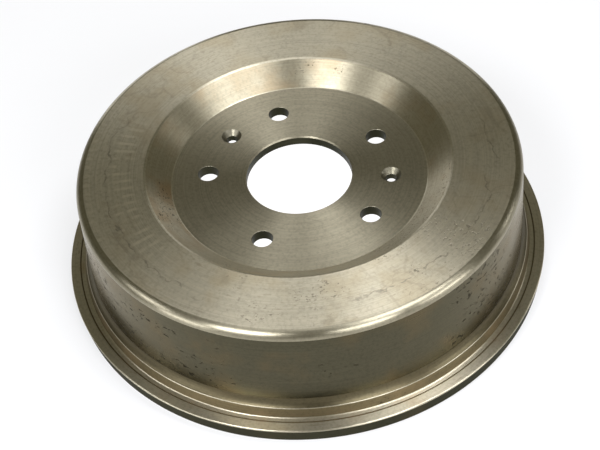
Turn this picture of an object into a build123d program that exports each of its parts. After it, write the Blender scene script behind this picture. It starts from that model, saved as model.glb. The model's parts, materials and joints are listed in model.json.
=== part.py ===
# Brake drum: one grey-iron casting, turned all over on the outside.
# The frame has its origin at the centre of the open rim's rest face, +Z up to the closed, wheel side.
import os
from math import atan2, cos, degrees, radians, sin, tan

from build123d import *

os.makedirs("parts", exist_ok=True)

# Driving dimensions, in millimetres and degrees
# Barrel: the wall that the shoes rub on
brake_diameter = 254.0
barrel_wall = 10.5
barrel_draft = 1.6
inside_depth = 72.0
relief_depth = 1.2
relief_width = 5.0
# Web: the flat ring that closes the wheel side
web_thickness = 8.0
top_corner_radius = 5.0
# Hub: the dished centre, with its seat on the axle's flange
hub_recess = 13.0
cone_run = 15.0
hub_plate = 7.0
hub_margin = 22.6
seat_margin = 14.0
seat_height = 1.0
bore_diameter = 66.0
# Fastener holes through the hub plate, all on one circle
stud_circle = 114.3
stud_count = 5
stud_hole = 12.8
screw_hole = 6.6
screw_head = 12.6
screw_angle = 90.0
screw_positions = (18.0, 162.0)
# Open rim: cove, riser and flange around the mouth
cove_radius = 8.0
cove_turn = 52.0
riser_height = 6.8
riser_draft = 14.0
flange_thickness = 11.0
flange_reach = 9.6
rim_draft = 7.5
groove_offset = 2.6
groove_width = 0.9
groove_depth = 0.6
mouth_step = 6.0
mouth_step_depth = 5.0
lead_in = 2.0
lead_in_angle = 40.0
# Edge breaks and radii
edge_break = 0.8
turned_radius = 0.8
hub_corner = 1.2
cast_radius = 3.0

# Heights worked out from them
top_z = inside_depth + web_thickness
hub_face_z = top_z - hub_recess
seat_z = hub_face_z - hub_plate
cast_hub_z = seat_z + seat_height

# Radii worked out from them
brake_r = brake_diameter / 2
barrel_r = brake_r + barrel_wall
bore_r = bore_diameter / 2
hub_face_r = stud_circle / 2 + hub_margin
seat_r = stud_circle / 2 + seat_margin
cone_top_r = hub_face_r + cone_run
cone_slope = degrees(atan2(hub_recess, cone_run))


def inner_cone_r(z):
    """Radius of the dish's inside at height z, one web thickness from its outside."""
    on_outside = hub_face_r + (z - hub_face_z) / tan(radians(cone_slope))
    return on_outside + web_thickness / sin(radians(cone_slope))


# The cove leaves the drafted wall on a tangent and ends at the riser's top edge
wall_down = (sin(radians(barrel_draft)), -cos(radians(barrel_draft)))
cove_end_turn = radians(cove_turn + barrel_draft)
cove_drop = cove_radius * (sin(cove_end_turn) - sin(radians(barrel_draft)))
cove_z = flange_thickness + riser_height + cove_drop
cove_r = barrel_r + (top_z - cove_z) * tan(radians(barrel_draft))

with BuildPart() as brake_drum:
    with BuildSketch(Plane.XZ) as section:
        with BuildLine():
            Polyline(
                (bore_r, seat_z),
                (bore_r, hub_face_z),
                (hub_face_r, hub_face_z),
                (cone_top_r, top_z),
                (barrel_r, top_z),
                (cove_r, cove_z),
            )
            cove = JernArc((cove_r, cove_z), wall_down, cove_radius, cove_turn)
            riser_top = cove @ 1
            foot_r = riser_top.X + riser_height * tan(radians(riser_draft))
            groove_r = foot_r + groove_offset
            flange_r = foot_r + flange_reach
            rim_r = flange_r - flange_thickness * tan(radians(rim_draft))
            mouth_r = brake_r + mouth_step
            lead_in_rise = lead_in / tan(radians(lead_in_angle))
            relief_z = inside_depth - relief_width
            Polyline(
                riser_top,
                (foot_r, flange_thickness),
                (groove_r, flange_thickness),
                (groove_r, flange_thickness - groove_depth),
                (groove_r + groove_width, flange_thickness - groove_depth),
                (groove_r + groove_width, flange_thickness),
                (flange_r, flange_thickness),
                (rim_r, 0),
                (mouth_r, 0),
                (mouth_r, mouth_step_depth),
                (brake_r + lead_in, mouth_step_depth),
                (brake_r, mouth_step_depth + lead_in_rise),
                (brake_r, relief_z),
                (brake_r + relief_depth, relief_z + relief_depth),
                (brake_r + relief_depth, inside_depth),
                (inner_cone_r(inside_depth), inside_depth),
                (inner_cone_r(cast_hub_z), cast_hub_z),
                (seat_r, cast_hub_z),
                (seat_r, seat_z),
                (bore_r, seat_z),
            )
        make_face()

        rounded = [
            ((hub_face_r, hub_face_z), hub_corner),
            ((barrel_r, top_z), top_corner_radius),
            ((riser_top.X, riser_top.Y), turned_radius),
            ((foot_r, flange_thickness), turned_radius),
            ((flange_r, flange_thickness), turned_radius),
            ((inner_cone_r(inside_depth), inside_depth), cast_radius),
            ((inner_cone_r(cast_hub_z), cast_hub_z), cast_radius),
        ]
        for corner, radius in rounded:
            fillet(section.vertices().sort_by_distance(corner)[0], radius)
        broken = [
            (bore_r, hub_face_z),
            (bore_r, seat_z),
            (cone_top_r, top_z),
            (rim_r, 0),
            (mouth_r, 0),
        ]
        for corner in broken:
            chamfer(section.vertices().sort_by_distance(corner)[0], edge_break)
    revolve(axis=Axis.Z)

    hub_centre = Location((0, 0, hub_face_z))
    with Locations(hub_centre):
        # One stud stands opposite the pair of screws, so the pattern is even about the YZ plane
        with PolarLocations(stud_circle / 2, stud_count, start_angle=-90):
            Hole(stud_hole / 2, depth=hub_plate)
        for angle in screw_positions:
            with PolarLocations(stud_circle / 2, 1, start_angle=angle):
                CounterSinkHole(screw_hole / 2, screw_head / 2, hub_plate, screw_angle)

brake_drum.part.label = "brake_drum"
export_step(brake_drum.part, "parts/brake_drum.step")
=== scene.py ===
"""Looks for a brake drum: turned grey iron on a pale studio floor, seen as in the photograph."""
import json
from math import ceil, cos, pi, radians, sin, tan
from typing import NamedTuple

import bmesh
import bpy
from mathutils import Matrix, Vector


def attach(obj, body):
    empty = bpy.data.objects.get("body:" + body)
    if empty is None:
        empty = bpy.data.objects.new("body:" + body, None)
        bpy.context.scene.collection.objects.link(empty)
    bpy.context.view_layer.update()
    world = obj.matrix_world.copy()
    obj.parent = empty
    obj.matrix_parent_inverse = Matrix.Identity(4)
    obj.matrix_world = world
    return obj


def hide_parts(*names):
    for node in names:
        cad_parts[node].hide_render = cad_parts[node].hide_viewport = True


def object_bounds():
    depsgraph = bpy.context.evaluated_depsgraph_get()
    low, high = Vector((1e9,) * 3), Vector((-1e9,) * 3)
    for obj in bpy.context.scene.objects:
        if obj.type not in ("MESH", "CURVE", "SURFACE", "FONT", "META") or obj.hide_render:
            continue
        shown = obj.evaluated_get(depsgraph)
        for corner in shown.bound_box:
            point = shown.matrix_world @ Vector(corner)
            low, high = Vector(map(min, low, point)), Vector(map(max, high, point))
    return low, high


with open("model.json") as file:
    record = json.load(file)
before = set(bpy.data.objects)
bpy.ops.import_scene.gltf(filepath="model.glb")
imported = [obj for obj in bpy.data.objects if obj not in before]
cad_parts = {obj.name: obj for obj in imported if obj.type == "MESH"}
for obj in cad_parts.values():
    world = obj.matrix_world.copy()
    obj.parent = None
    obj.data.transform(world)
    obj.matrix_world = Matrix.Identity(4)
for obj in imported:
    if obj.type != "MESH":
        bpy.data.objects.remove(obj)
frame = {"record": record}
cad_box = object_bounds()
mounts = {m["name"]: m for m in frame["record"]["mounts"]}

# Sizes of the drum that the record gives, in millimetres
MM = 0.001
bore_r = mounts["hub_bore"]["dims"]["r_mm"]
stud_circle_r = mounts["stud_holes"]["dims"]["pcd_mm"] / 2
stud_hole_r = mounts["stud_holes"]["dims"]["hole_r_mm"]
screw_hole_r = mounts["retaining_screw_holes"]["dims"]["hole_r_mm"]
seat_z = mounts["hub_seat"]["pos_m"][2] / MM
hub_face_z = mounts["wheel_face"]["pos_m"][2] / MM
top_z = cad_box[1][2] / MM

# Sizes that the record doesn't give, as in the part's source to a hundredth, in millimetres and degrees
brake_r = 127.0
barrel_r = 137.5
barrel_draft = 1.6
top_corner_radius = 5.0
relief_z = 67.0
relief_depth = 1.2
web_z = 72.0
hub_margin = 22.6
cone_run = 15.0
seat_margin = 14.0
seat_height = 1.0
stud_count = 5
first_stud_angle = -90
screw_angles = (18, 162)
screw_head_r = 6.3
cove_z = 24.02
cove_radius = 8.0
cove_turn = 52.0
riser_height = 6.8
riser_draft = 14.0
flange_z = 11.0
flange_reach = 9.6
rim_draft = 7.5
groove_offset = 2.6
groove_width = 0.9
groove_depth = 0.6
mouth_r = 133.0
mouth_z = 5.0
lead_in = 2.0
lead_in_rise = 2.38
edge_break = 0.8
turned_radius = 0.8
hub_corner = 1.2
cast_radius = 3.0

# Radii, heights and angles worked out from them
hub_face_r = stud_circle_r + hub_margin
cone_top_r = hub_face_r + cone_run
seat_r = stud_circle_r + seat_margin
cast_hub_z = seat_z + seat_height
stud_angles = [first_stud_angle + 360 * k / stud_count for k in range(stud_count)]

# Forms of this mesh alone: the cove's arc leaves room for the riser's round top, and holes have a lip
cove_arc = 7.0
hole_lip = 0.18

# Fineness of the mesh: steps, lengths in millimetres, and the angle in degrees above which edges are sharp
turns = 480
hole_turns = 64
longest_run = 6.0
support = 0.2
least_round_steps = 4
round_steps_per_radian = 3
sharp_angle = 32

# The view: angles in degrees, lengths in metres. The picture is 600 x 450 pixels.
picture_width = 600
focal_pixels = 1394.6
sensor_width = 36.0
nearest_seen = 0.01
view_elevation = 47.30
view_azimuth = 27.28
view_roll = 6.34
hub_distance = 0.8668
hub_right = -0.0006
hub_up = 0.0318


class Corner(NamedTuple):
    """A corner of the section, rounded by radius or broken by flat, and the zone of the run after it."""
    r: float
    z: float
    zone: str
    radius: float = 0.0
    flat: float = 0.0


def inner_cone_r(z):
    """Radius of the dish's inside at height z."""
    slope = Vector((cone_top_r - hub_face_r, top_z - hub_face_z))
    on_outside = hub_face_r + (z - hub_face_z) * slope.x / slope.y
    return on_outside + (top_z - web_z) * slope.length / slope.y


def section():
    """Corners of the half section, from the bore over the wheel side and the barrel to the inside."""
    down = Vector((sin(radians(barrel_draft)), -cos(radians(barrel_draft))))
    cove_reach = cove_radius * tan(radians(cove_turn / 2))
    cove_start = Vector((barrel_r + (top_z - cove_z) * tan(radians(barrel_draft)), cove_z))
    cove_corner = cove_start + down * cove_reach
    outward = radians(cove_turn + barrel_draft)
    riser_top = cove_corner + Vector((sin(outward), -cos(outward))) * cove_reach
    foot_r = riser_top.x + riser_height * tan(radians(riser_draft))
    groove_r = foot_r + groove_offset
    flange_r = foot_r + flange_reach
    rim_r = flange_r - flange_z * tan(radians(rim_draft))
    return [
        Corner(bore_r, seat_z, "bore", flat=edge_break),
        Corner(bore_r, hub_face_z, "hub_face", flat=edge_break),
        Corner(hub_face_r, hub_face_z, "dish", hub_corner),
        Corner(cone_top_r, top_z, "ring", flat=edge_break),
        Corner(barrel_r, top_z, "barrel", top_corner_radius),
        Corner(cove_corner.x, cove_corner.y, "cove", cove_arc),
        Corner(riser_top.x, riser_top.y, "riser", turned_radius),
        Corner(foot_r, flange_z, "flange", turned_radius),
        Corner(groove_r, flange_z, "groove"),
        Corner(groove_r, flange_z - groove_depth, "groove"),
        Corner(groove_r + groove_width, flange_z - groove_depth, "groove"),
        Corner(groove_r + groove_width, flange_z, "flange"),
        Corner(flange_r, flange_z, "rim", turned_radius),
        Corner(rim_r, 0, "rest", flat=edge_break),
        Corner(mouth_r, 0, "mouth", flat=edge_break),
        Corner(mouth_r, mouth_z, "mouth"),
        Corner(brake_r + lead_in, mouth_z, "mouth"),
        Corner(brake_r, mouth_z + lead_in_rise, "rubbed"),
        Corner(brake_r, relief_z, "relief"),
        Corner(brake_r + relief_depth, relief_z + relief_depth, "relief"),
        Corner(brake_r + relief_depth, web_z, "cast"),
        Corner(inner_cone_r(web_z), web_z, "cast", cast_radius),
        Corner(inner_cone_r(cast_hub_z), cast_hub_z, "cast", cast_radius),
        Corner(seat_r, cast_hub_z, "seat"),
        Corner(seat_r, seat_z, "seat_face"),
    ]


def outline(corners):
    """Points along the section and the zone of the run after each, with the corners rounded or broken."""
    points = []
    for i, corner in enumerate(corners):
        here = Vector((corner.r, corner.z))
        back = (Vector(corners[i - 1][:2]) - here).normalized()
        ahead = (Vector(corners[(i + 1) % len(corners)][:2]) - here).normalized()
        if corner.flat:
            points.append((here + back * corner.flat, corners[i - 1].zone + "_edge"))
            points.append((here + ahead * corner.flat, corner.zone))
        elif corner.radius:
            half = back.angle(ahead) / 2
            middle = (back + ahead).normalized()
            centre = here + middle * corner.radius / sin(half)
            start = here + back * corner.radius / tan(half) - centre
            end = here + ahead * corner.radius / tan(half) - centre
            turn = start.angle_signed(end)
            # A larger round gets more steps
            steps = max(least_round_steps, ceil(abs(turn) * (round_steps_per_radian + corner.radius)))
            for k in range(steps + 1):
                zone = corner.zone if k == steps else f"{corner.zone}_round"
                points.append((centre + Matrix.Rotation(-turn * k / steps, 2) @ start, zone))
        else:
            points.append((here, corner.zone))
    return points


def with_support(points):
    """The same outline, with extra points near the ends of long runs so that flats shade flat."""
    fine = []
    for i, (here, zone) in enumerate(points):
        ahead = points[(i + 1) % len(points)][0]
        run = ahead - here
        fine.append((here, zone))
        if run.length < 4 * support or zone in ("hub_face", "seat_face"):
            continue
        steps = ceil((run.length - 2 * support) / longest_run)
        for k in range(steps + 1):
            along = support + (run.length - 2 * support) * k / steps
            fine.append((here + run.normalized() * along, zone))
    return fine


def ring(bm, r, z, count, centre=(0.0, 0.0)):
    """A closed loop of points round an axis parallel to Z."""
    loop = []
    for k in range(count):
        angle = 2 * pi * k / count
        x = centre[0] + r * cos(angle)
        y = centre[1] + r * sin(angle)
        loop.append(bm.verts.new((x * MM, y * MM, z * MM)))
    return loop


def band(bm, a, b, slot):
    """Four-sided faces between two loops."""
    for k in range(len(a)):
        j = (k + 1) % len(a)
        face = bm.faces.new((a[k], b[k], b[j], a[j]))
        face.material_index = slot
        face.smooth = True


def flat_with_holes(bm, loops, slot):
    """A flat face inside the first loop and outside the others."""
    edges = []
    for loop in loops:
        for k in range(len(loop)):
            pair = (loop[k], loop[(k + 1) % len(loop)])
            edges.append(bm.edges.get(pair) or bm.edges.new(pair))
    filled = bmesh.ops.triangle_fill(bm, use_beauty=True, use_dissolve=False, edges=edges)
    for item in filled["geom"]:
        if isinstance(item, bmesh.types.BMFace):
            item.material_index = slot
            item.smooth = True


def hole_centre(angle):
    """The middle of a hole on the stud circle, at an angle in degrees from +X."""
    return stud_circle_r * cos(radians(angle)), stud_circle_r * sin(radians(angle))


def hole_kinds():
    """The angles of each kind of hole, and its (radius, height, zone of the band below) steps downwards."""
    lip_z = hub_face_z - hole_lip
    sink_depth = screw_head_r - screw_hole_r
    stud_steps = [
        (stud_hole_r + hole_lip, hub_face_z, "hole_edge"),
        (stud_hole_r, lip_z, "hole"),
        (stud_hole_r, seat_z, "hole"),
    ]
    screw_steps = [
        (screw_head_r + hole_lip / 2, hub_face_z, "hole_edge"),
        (screw_head_r - hole_lip, lip_z, "sink"),
        (screw_hole_r, hub_face_z - sink_depth, "hole"),
        (screw_hole_r, seat_z, "hole"),
    ]
    return (stud_angles, stud_steps), (screw_angles, screw_steps)


def add_hole(bm, centre, steps):
    """The wall of a round hole with these steps; returns its first and last loops."""
    loops = [ring(bm, r, z, hole_turns, centre) for r, z, zone in steps]
    for above, below, (r, z, zone) in zip(loops, loops[1:], steps):
        band(bm, above, below, zone_slot(zone))
    return loops[0], loops[-1]


def turned_drum():
    """The drum as a fine mesh: the section swept round the axis, with the holes through the hub plate."""
    bm = bmesh.new()
    points = with_support(outline(section()))
    loops = [ring(bm, p.x, p.y, turns) for p, zone in points]
    holes_above, holes_below = [], []
    for angles, steps in hole_kinds():
        for angle in angles:
            above, below = add_hole(bm, hole_centre(angle), steps)
            holes_above.append(above)
            holes_below.append(below)
    for i, (p, zone) in enumerate(points):
        after = loops[(i + 1) % len(loops)]
        if zone == "hub_face":
            flat_with_holes(bm, [after, loops[i], *holes_above], zone_slot(zone))
        elif zone == "seat_face":
            flat_with_holes(bm, [loops[i], after, *holes_below], zone_slot(zone))
        else:
            band(bm, loops[i], after, zone_slot(zone))
    bmesh.ops.recalc_face_normals(bm, faces=bm.faces)
    mesh = bpy.data.meshes.new("drum_casting")
    bm.to_mesh(mesh)
    bm.free()
    mesh.set_sharp_from_angle(angle=radians(sharp_angle))
    return mesh


def picture_axes():
    """Unit vectors to the picture's right, to its top and towards the viewer."""
    e = radians(view_elevation)
    forward = Vector((0, cos(e), -sin(e)))
    right = Vector((1, 0, 0))
    up = right.cross(forward)
    turn = Matrix.Rotation(radians(view_roll), 3, forward)
    around = Matrix.Rotation(radians(view_azimuth), 3, "Z")
    return around @ turn @ right, around @ turn @ up, around @ -forward


def add_camera():
    """The photograph's view, placed from where the hub's centre lies in it."""
    right, up, back = picture_axes()
    data = bpy.data.cameras.new("view")
    data.sensor_width = sensor_width
    data.lens = focal_pixels * sensor_width / picture_width
    data.clip_start = nearest_seen
    camera = bpy.data.objects.new("view", data)
    axes = Matrix((right, up, back)).transposed()
    hub_centre = Vector((0, 0, hub_face_z * MM))
    place = hub_centre + back * hub_distance - right * hub_right - up * hub_up
    camera.matrix_world = Matrix.Translation(place) @ axes.to_4x4()
    bpy.context.collection.objects.link(camera)
    bpy.context.scene.camera = camera


class Place(NamedTuple):
    """Sockets of the surface's place in the object's own millimetres, and its distance r from the axis."""
    point: bpy.types.NodeSocket
    x: bpy.types.NodeSocket
    y: bpy.types.NodeSocket
    z: bpy.types.NodeSocket
    r: bpy.types.NodeSocket


def node(tree, kind, **settings):
    """A new node with these settings."""
    n = tree.nodes.new(kind)
    for name, value in settings.items():
        setattr(n, name, value)
    return n


class Graph:
    """The nodes of one material, with short calls that give back output sockets."""

    def __init__(self, tree):
        self.tree = tree

    def feed(self, socket, value):
        """Links the socket to an output, or sets it to a constant."""
        if isinstance(value, bpy.types.NodeSocket):
            self.tree.links.new(value, socket)
        else:
            socket.default_value = value

    def math(self, operation, a, b=0.0):
        n = node(self.tree, "ShaderNodeMath", operation=operation)
        self.feed(n.inputs[0], a)
        self.feed(n.inputs[1], b)
        return n.outputs[0]

    def plus(self, a, b):
        return self.math("ADD", a, b)

    def minus(self, a, b):
        return self.math("SUBTRACT", a, b)

    def times(self, a, b):
        return self.math("MULTIPLY", a, b)

    def over(self, a, b):
        return self.math("DIVIDE", a, b)

    def larger(self, a, b):
        return self.math("MAXIMUM", a, b)

    def between(self, value, low, high, start=0.0, end=1.0):
        """A smooth step from start at low to end at high."""
        n = node(self.tree, "ShaderNodeMapRange", interpolation_type="SMOOTHSTEP")
        self.feed(n.inputs["Value"], value)
        n.inputs["From Min"].default_value = low
        n.inputs["From Max"].default_value = high
        n.inputs["To Min"].default_value = start
        n.inputs["To Max"].default_value = end
        return n.outputs["Result"]

    def blend(self, amount, a, b):
        """A colour that goes from a to b as the amount goes from 0 to 1."""
        n = node(self.tree, "ShaderNodeMix", data_type="RGBA")
        self.feed(n.inputs[0], amount)
        self.feed(n.inputs[6], a)
        self.feed(n.inputs[7], b)
        return n.outputs[2]

    def noise(self, point, size, detail=3.0, w=None):
        """Noise about 0.5 with blots about size millimetres across."""
        n = node(self.tree, "ShaderNodeTexNoise", noise_dimensions="3D" if w is None else "4D")
        self.feed(n.inputs["Vector"], point)
        n.inputs["Scale"].default_value = 1 / size
        n.inputs["Detail"].default_value = detail
        if w is not None:
            self.feed(n.inputs["W"], w)
        return n.outputs["Fac"]

    def vector(self, x, y, z):
        n = node(self.tree, "ShaderNodeCombineXYZ")
        for socket, value in zip(n.inputs, (x, y, z)):
            self.feed(socket, value)
        return n.outputs[0]

    def place(self):
        """Where the surface is."""
        scaled = node(self.tree, "ShaderNodeVectorMath", operation="SCALE")
        self.feed(scaled.inputs[0], node(self.tree, "ShaderNodeTexCoord").outputs["Object"])
        scaled.inputs["Scale"].default_value = 1 / MM
        parts = node(self.tree, "ShaderNodeSeparateXYZ")
        self.feed(parts.inputs[0], scaled.outputs[0])
        x, y, z = parts.outputs
        r = self.math("SQRT", self.plus(self.times(x, x), self.times(y, y)))
        return Place(scaled.outputs[0], x, y, z, r)


class Finish(NamedTuple):
    """How a surface is finished. Colours are linear red, green and blue, and lengths are in millimetres."""
    tone: tuple  # colour of the iron
    stain: tuple  # colour of its stains and flecks
    stained: float  # strength of the stains
    rough: float  # roughness of the gloss
    streak: float = 0.8  # how far turning draws the gloss out
    pitch: float = 0.7  # size of the turning marks
    groove: float = 0.002  # height of the turning marks
    pits: float = 0.0  # share and strength of the pits
    pit_size: float = 1.4  # size of the small pits
    worn: tuple = ()  # sectors with more pits, each a middle and a half width in degrees from +X
    grain: float = 0.0  # height of the cast grain
    water: float = 0.0  # strength of the water marks
    chatter: float = 0.0  # strength of the chatter marks
    spilt: tuple = ()  # a sector with more stain: its middle, half width and strength
    flecks: float = 0.05  # strength of the flecks
    metal: float = 1.0  # 1 for bare iron, 0 for dull skin
    gloss_tint: tuple = ()  # tint of the gloss, where it has one


def shade(colour, share):
    """The colour made darker or brighter by a share."""
    return (*(c * share for c in colour), 1)


def tinted(colour, tint):
    """The colour seen through a tint."""
    return (*(c * t for c, t in zip(colour, tint)), 1)


def sector(g, at, centre, half):
    """1 near the angle centre, in degrees from +X, falling to 0 at half degrees on either side."""
    along_x = g.times(at.x, cos(radians(centre)))
    along_y = g.times(at.y, sin(radians(centre)))
    toward = g.over(g.plus(along_x, along_y), at.r)
    return g.between(toward, cos(radians(half)), cos(radians(half / 2)))


def sectors(g, at, pairs):
    """1 in any of the sectors given as (centre, half) pairs, and 0 outside them."""
    share = 0.0
    for centre, half in pairs:
        share = g.larger(share, sector(g, at, centre, half))
    return share


def unroll(g, at, turn_r):
    """The surface in millimetres, shortened round the drum to a circle of turn_r, so that blots are long."""
    round_x = g.times(g.over(at.x, at.r), turn_r)
    round_y = g.times(g.over(at.y, at.r), turn_r)
    return g.vector(round_x, round_y, g.plus(at.r, at.z))


# From here on, sizes are in millimetres, and levels say where in a noise a mark begins and is full

# Turning marks: levels of their shade and roughness, shares of the tone, and swing of the roughness
mark_levels = (0.35, 0.7)
mark_rough_levels = (0.3, 0.7)
furrow_shade = 1.08
crest_shade = 0.9
rough_swing = 0.02


def turning_marks(g, at, pitch):
    """Fine uneven lines round the axis."""
    along = g.vector(at.r, g.over(at.x, at.r), g.over(at.y, at.r))
    return g.noise(along, pitch, detail=4.0, w=g.over(at.z, pitch))


# Stains: the soft blots, how far a spill widens them, and how much rougher they are
stain_size = 30.0
stain_levels = (0.46, 0.68)
spill_spread = 0.4
stain_rough = 0.08


def stains(g, at, finish):
    """Soft blots all over, with more of them where something was spilt."""
    spilt = 0.0
    if finish.spilt:
        centre, half, strength = finish.spilt
        spilt = g.times(sector(g, at, centre, half), strength)
    spread = g.plus(g.noise(at.point, stain_size, detail=5.0), g.times(spilt, spill_spread))
    return g.times(g.between(spread, *stain_levels), g.plus(spilt, finish.stained))


# Specks: darker pores of the iron, all over
speck_size = 1.8
speck_levels = (0.42, 0.72)
speck_strength = 0.5
speck_shade = 0.66


def specks(g, at):
    """Fine pores."""
    return g.between(g.noise(at.point, speck_size, detail=4.0), *speck_levels, 0.0, speck_strength)


# Flecks: small stained marks in patches, and the circle that they are unrolled to
fleck_size = 2.0
fleck_levels = (0.60, 0.70)
fleck_patch_size = 22.0
fleck_patch_levels = (0.46, 0.60)
fleck_turn_r = 34.0
fleck_shade = 0.55


def fleck_marks(g, at, strength):
    """Small flecks in loose patches, longer round the drum than across."""
    patches = g.between(g.noise(at.point, fleck_patch_size), *fleck_patch_levels)
    marks = g.between(g.noise(unroll(g, at, fleck_turn_r), fleck_size, detail=2.0), *fleck_levels)
    return g.times(marks, g.times(patches, strength))


# Pits: small and large ones, their clusters, what wear adds, and the circle that they are unrolled to
small_pit_levels = (0.63, 0.68)
large_pit_levels = (0.66, 0.70)
large_pit_scale = 2.2
cluster_size = 20.0
cluster_levels = (0.66, 0.74)
cluster_levels_drop = (0.2, 0.1)
cluster_wear = 0.16
pit_wear = 0.025
pit_turn_r = 70.0
pit_tint = (0.11, 0.097, 0.078)
pit_least_strength = 0.35
pit_most_strength = 0.85
pit_rough = 0.2
pit_depth = 0.06


def pitting(g, at, finish):
    """Small dark pits in loose clusters, longer round the drum than across, more of them where worn."""
    unrolled = unroll(g, at, pit_turn_r)
    worn = sectors(g, at, finish.worn)
    patch = g.plus(g.noise(unrolled, cluster_size), g.times(worn, cluster_wear))
    levels = [level - drop * finish.pits for level, drop in zip(cluster_levels, cluster_levels_drop)]
    small = g.plus(g.noise(unrolled, finish.pit_size, detail=2.0), g.times(worn, pit_wear))
    large = g.noise(unrolled, large_pit_scale * finish.pit_size)
    either = g.larger(g.between(small, *small_pit_levels), g.between(large, *large_pit_levels))
    return g.times(either, g.between(patch, *levels))


# Water lines: the cells whose edges they are, how these are bent, how wide they are, and where they show
water_cell = 42.0
water_bend_size = 14.0
water_bend = (30.0, -22.0)
water_width = (0.008, 0.03)
water_patch_size = 30.0
water_patch_levels = (0.5, 0.6)
water_strength = 0.35
water_shade = 0.35


def water_lines(g, at):
    """Thin curved edges that drying water has left, in a few places."""
    bend = g.noise(at.point, water_bend_size)
    pushed = node(g.tree, "ShaderNodeVectorMath", operation="ADD")
    g.feed(pushed.inputs[0], at.point)
    g.feed(pushed.inputs[1], g.vector(*(g.times(bend, reach) for reach in water_bend), 0.0))
    cells = node(g.tree, "ShaderNodeTexVoronoi", feature="DISTANCE_TO_EDGE")
    g.feed(cells.inputs["Vector"], pushed.outputs[0])
    cells.inputs["Scale"].default_value = 1 / water_cell
    line = g.between(cells.outputs["Distance"], *water_width, 1.0, 0.0)
    return g.times(line, g.between(g.noise(at.point, water_patch_size, detail=2.0), *water_patch_levels))


# Tide line on the ring: its radius, how it wavers, its half width, its gaps, and its sectors in degrees
tide_r = 118.5
tide_swing = 22.0
tide_waver_size = 16.0
tide_width = (0.1, 0.8)
tide_gap_size = 7.0
tide_gap_levels = (0.38, 0.58)
tide_sectors = ((352, 62), (222, 56))


def tide_line(g, at):
    """A thin wavering edge that drying water has left round the ring."""
    waver = g.times(g.minus(g.noise(at.point, tide_waver_size, detail=5.0), 0.5), tide_swing)
    off = g.math("ABSOLUTE", g.minus(g.plus(at.r, waver), tide_r))
    gaps = g.between(g.noise(at.point, tide_gap_size), *tide_gap_levels)
    line = g.times(g.between(off, *tide_width, 1.0, 0.0), gaps)
    return g.times(line, sectors(g, at, tide_sectors))


# Chatter on the ring: marks in a full turn, radii of its rows, its gaps, and its sector in degrees
chatter_count = 104
chatter_levels = (0.1, 0.95)
inner_row_start = (100.0, 105.0)
inner_row_end = (113.0, 120.0)
outer_row_start = (125.0, 131.0)
outer_row_strength = 0.5
chatter_gap_size = 9.0
chatter_gap_levels = (0.32, 0.56)
chatter_turn_r = 60.0
chatter_sector = (214, 40)
chatter_shade = 1.6
chatter_height = 0.02


def chatter_marks(g, at):
    """Short bright radial marks in rows, where the cutter shook."""
    # The angle is counted from -X, so that its jump lies outside the sector
    angle = g.math("ARCTAN2", g.times(at.y, -1.0), g.times(at.x, -1.0))
    line = g.between(g.math("SINE", g.times(angle, chatter_count)), *chatter_levels)
    inner_row = g.times(g.between(at.r, *inner_row_start), g.between(at.r, *inner_row_end, 1.0, 0.0))
    rows = g.larger(inner_row, g.between(at.r, *outer_row_start, 0.0, outer_row_strength))
    flattened = g.vector(at.r, g.times(angle, chatter_turn_r), 0.0)
    gaps = g.between(g.noise(flattened, chatter_gap_size, detail=2.0), *chatter_gap_levels)
    marks = g.times(g.times(line, rows), gaps)
    return g.times(marks, sector(g, at, *chatter_sector))


# The cast grain's size, the gloss of dull skin, and the part of a turn by which streaks of gloss are set
grain_size = 2.4
skin_gloss = 0.04
streak_turn = 0.25


def set_gloss(g, shader, finish):
    """Metal whose gloss is drawn out by turning, or dull skin."""
    shader.inputs["Metallic"].default_value = finish.metal
    if not finish.metal:
        shader.inputs["Specular IOR Level"].default_value = skin_gloss
    if finish.gloss_tint:
        shader.inputs["Specular Tint"].default_value = finish.gloss_tint
    shader.inputs["Anisotropic"].default_value = finish.streak
    shader.inputs["Anisotropic Rotation"].default_value = streak_turn
    tangent = node(g.tree, "ShaderNodeTangent", direction_type="RADIAL", axis="Z")
    g.feed(shader.inputs["Tangent"], tangent.outputs[0])


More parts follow.
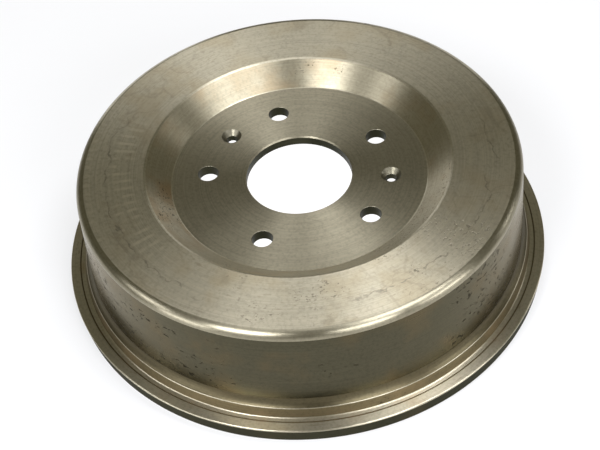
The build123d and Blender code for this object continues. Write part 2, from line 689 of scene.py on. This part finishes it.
def iron(name, finish):
    """Machined or cast grey iron, with turning marks that run round the drum's axis."""
    material = bpy.data.materials.new(name)
    material.use_nodes = True
    g = Graph(material.node_tree)
    at = g.place()
    marks = turning_marks(g, at, finish.pitch)
    stained = stains(g, at, finish)
    tone, stain = finish.tone, finish.stain

    colour = g.blend(g.between(marks, *mark_levels), shade(tone, furrow_shade), shade(tone, crest_shade))
    colour = g.blend(specks(g, at), colour, shade(tone, speck_shade))
    colour = g.blend(fleck_marks(g, at, finish.flecks), colour, shade(stain, fleck_shade))
    colour = g.blend(stained, colour, shade(stain, 1.0))
    rough = g.between(marks, *mark_rough_levels, finish.rough - rough_swing, finish.rough + rough_swing)
    rough = g.plus(rough, g.times(stained, stain_rough))
    height = g.times(marks, finish.groove)
    if finish.grain:
        height = g.plus(height, g.times(g.noise(at.point, grain_size, detail=5.0), finish.grain))
    if finish.water:
        lines = g.larger(g.times(water_lines(g, at), water_strength), tide_line(g, at))
        colour = g.blend(g.times(lines, finish.water), colour, shade(tone, water_shade))
    if finish.chatter:
        shaken = g.times(chatter_marks(g, at), finish.chatter)
        colour = g.blend(shaken, colour, shade(tone, chatter_shade))
        height = g.plus(height, g.times(shaken, chatter_height))
    if finish.pits:
        pits = pitting(g, at, finish)
        strength = min(pit_most_strength, pit_least_strength + finish.pits)
        colour = g.blend(g.times(pits, strength), colour, tinted(tone, pit_tint))
        rough = g.plus(rough, g.times(pits, pit_rough))
        height = g.minus(height, g.times(pits, pit_depth))

    bump = node(g.tree, "ShaderNodeBump")
    bump.inputs["Distance"].default_value = MM
    g.feed(bump.inputs["Height"], height)
    shader = g.tree.nodes["Principled BSDF"]
    set_gloss(g, shader, finish)
    g.feed(shader.inputs["Base Color"], colour)
    g.feed(shader.inputs["Roughness"], rough)
    g.feed(shader.inputs["Normal"], bump.outputs[0])
    return material


# Colours, as linear red, green and blue
bright_iron = (0.468, 0.426, 0.32)
dull_iron = (0.317, 0.288, 0.208)
dish_iron = (0.361, 0.326, 0.235)
# The barrel's tone is kept dark as painted shade: it stands in for the dark reflections on the barrel's
# front
barrel_iron_with_painted_shade = (0.076, 0.070, 0.044)
cove_iron = (0.116, 0.098, 0.057)
riser_iron = (0.158, 0.127, 0.07)
dark_iron = (0.09, 0.083, 0.055)
sink_iron = (0.18, 0.166, 0.122)
hole_iron = (0.026, 0.0265, 0.0135)
black_iron = (0.027, 0.026, 0.0145)
skin_iron = (0.045, 0.038, 0.02)
tan_stain = (0.30, 0.215, 0.115)
brown_stain = (0.13, 0.10, 0.055)
barrel_stain = (0.115, 0.088, 0.046)
ring_stain = (0.35, 0.285, 0.17)
skin_sheen = (1.0, 0.92, 0.55, 1)
oil_sheen = (1.0, 0.95, 0.85, 1)

finishes = {
    "ring": Finish(bright_iron, ring_stain, stained=0.4, rough=0.45, pits=0.1, worn=((318, 60),),
                   water=0.6, chatter=0.36, spilt=(262, 12, 0.15), flecks=0.26),
    "hub": Finish(dull_iron, dark_iron, stained=0.12, rough=0.45, pits=0.02),
    "dish": Finish(dish_iron, tan_stain, stained=0.45, rough=0.38, pits=0.35, worn=((221, 22), (352, 34)),
                   spilt=(221, 22, 0.4)),
    "corner": Finish(dull_iron, dark_iron, stained=0.2, rough=0.31, pits=0.2),
    # The barrel's dark tone is painted shade, standing in for the dark reflections on its front
    "barrel": Finish(barrel_iron_with_painted_shade, barrel_stain, stained=0.6, rough=0.22, streak=0.5, pits=0.46, pit_size=2.0,
                     worn=((234, 46), (346, 18)), flecks=0.2, gloss_tint=oil_sheen),
    "cove": Finish(cove_iron, brown_stain, stained=0.3, rough=0.38, pits=0.2),
    "riser": Finish(riser_iron, tan_stain, stained=0.4, rough=0.52, pits=0.2),
    "flange": Finish(bright_iron, tan_stain, stained=0.45, rough=0.37, pits=0.1, flecks=0.3),
    "edge": Finish(bright_iron, dull_iron, stained=0.3, rough=0.32, groove=0.0),
    "rim": Finish(black_iron, skin_iron, stained=0.6, rough=0.60, streak=0.4, pits=0.2, metal=0.0,
                  gloss_tint=skin_sheen),
    "rubbed": Finish(bright_iron, brown_stain, stained=0.3, rough=0.40),
    "cast": Finish(dark_iron, brown_stain, stained=0.5, rough=0.68, streak=0.0, groove=0.0, pits=0.3,
                   grain=0.10),
    "drilled": Finish(hole_iron, dark_iron, stained=0.3, rough=0.45, streak=0.0, groove=0.0),
    "sink": Finish(sink_iron, dark_iron, stained=0.3, rough=0.36, streak=0.0, groove=0.0),
}
slots = list(finishes)

# The zones of the section that have each finish; zones that aren't here have the edge finish
zones_with = {
    "ring": ("ring",),
    "hub": ("hub_face", "bore_edge"),
    "dish": ("dish",),
    "corner": ("barrel_round",),
    "barrel": ("barrel",),
    "cove": ("cove", "cove_round"),
    "riser": ("riser", "groove"),
    "flange": ("flange",),
    "rim": ("rim",),
    "rubbed": ("rest", "mouth", "rubbed", "relief", "seat", "seat_face"),
    "cast": ("cast", "cast_round"),
    "drilled": ("bore", "hole"),
    "sink": ("sink", "hole_edge"),
}
finish_of = {zone: finish for finish, zones in zones_with.items() for zone in zones}


def zone_slot(zone):
    """The material slot of a zone."""
    return slots.index(finish_of.get(zone, "edge"))


class Lamp(NamedTuple):
    """A square soft light: degrees to the right of the viewer and above the drum, side in metres, watts."""
    name: str
    right: float
    up: float
    side: float
    power: float


lamp_distance = 1.2
lamp_colour = (0.92, 0.935, 1.0)
lamps = (
    Lamp("front_left", -36, 48, 0.4, 9.6),
    Lamp("front_right", 22, 32, 0.45, 6.8),
    Lamp("low_right", 58, 24, 0.45, 4.0),
    Lamp("low_left", -55, 12, 0.45, 3.0),
    Lamp("high_right", 80, 70, 0.45, 7.4),
    Lamp("high_back", 180, 70, 0.45, 1.8),
    Lamp("back_right", 160, 10, 0.45, 1.1),
    Lamp("back_left", -160, 10, 0.45, 1.4),
    Lamp("side_left", -81, 37, 0.32, 2.2),
    Lamp("side_right", 100, 20, 0.25, 0.8),
)
world_colour = (1.0, 0.96, 0.68, 1)
world_strength = 0.165


def add_light(lamp):
    """A soft light that looks at the drum."""
    data = bpy.data.lights.new(lamp.name, "AREA")
    data.shape = "SQUARE"
    data.size = lamp.side
    data.energy = lamp.power
    data.color = lamp_colour
    light = bpy.data.objects.new(lamp.name, data)
    right, up = radians(lamp.right), radians(lamp.up)
    seen = Vector((sin(right) * cos(up), -cos(right) * cos(up), sin(up)))
    direction = Matrix.Rotation(radians(view_azimuth), 3, "Z") @ seen
    light.location = Vector((0, 0, hub_face_z * MM)) + direction * lamp_distance
    light.rotation_euler = direction.to_track_quat("Z", "Y").to_euler()
    light.visible_camera = False
    bpy.context.collection.objects.link(light)


# The floor: its side in metres, its glow under the drum, which is painted light that lifts the drum's shadow
# there, its own white outside it, its tint in view, its paint
floor_side = 12
painted_light_under_drum = 1.0
glow_outside = 0.56
floor_tint = (0.33, 0.33, 0.33, 1)
floor_paint = (0.8, 0.8, 0.8, 1)


def pale_floor():
    """White to the eye, in reflections and through holes, with a shadow outside the drum and painted light
    under it; plain paint to other light.
    """
    material = bpy.data.materials.new("pale_floor")
    material.use_nodes = True
    g = Graph(material.node_tree)
    g.tree.nodes.clear()
    path = node(g.tree, "ShaderNodeLightPath").outputs
    seen = g.larger(path["Is Camera Ray"], path["Is Glossy Ray"])
    seen = g.larger(seen, path["Is Transmission Ray"])
    paint = node(g.tree, "ShaderNodeBsdfDiffuse")
    paint.inputs["Color"].default_value = floor_paint
    tint = node(g.tree, "ShaderNodeBsdfDiffuse")
    tint.inputs["Color"].default_value = floor_tint
    glow = node(g.tree, "ShaderNodeEmission")
    # Under the drum the floor glows fully white: painted light that lifts the drum's shadow there
    g.feed(glow.inputs["Strength"], g.between(g.place().r, brake_r, mouth_r, painted_light_under_drum, glow_outside))
    white = node(g.tree, "ShaderNodeAddShader")
    g.feed(white.inputs[0], tint.outputs[0])
    g.feed(white.inputs[1], glow.outputs[0])
    mix = node(g.tree, "ShaderNodeMixShader")
    g.feed(mix.inputs[0], seen)
    g.feed(mix.inputs[1], paint.outputs[0])
    g.feed(mix.inputs[2], white.outputs[0])
    out = node(g.tree, "ShaderNodeOutputMaterial")
    g.feed(out.inputs["Surface"], mix.outputs[0])
    return material


def add_stage():
    """The floor, the world's even light and the lamps."""
    bpy.ops.mesh.primitive_plane_add(size=floor_side, location=(0, 0, 0))
    floor = bpy.context.object
    floor.name = "floor"
    floor.data.materials.append(pale_floor())
    world = bpy.data.worlds.new("studio")
    world.use_nodes = True
    background = world.node_tree.nodes["Background"]
    background.inputs["Color"].default_value = world_colour
    background.inputs["Strength"].default_value = world_strength
    bpy.context.scene.world = world
    for lamp in lamps:
        add_light(lamp)


def add_drum():
    """The casting, which stands for the CAD solid."""
    mesh = turned_drum()
    for name in slots:
        mesh.materials.append(iron(f"iron_{name}", finishes[name]))
    casting = bpy.data.objects.new("drum_casting", mesh)
    bpy.context.collection.objects.link(casting)
    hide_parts("brake_drum")
    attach(casting, "root")


add_camera()
add_stage()
add_drum()
bpy.context.scene.view_settings.view_transform = "Standard"
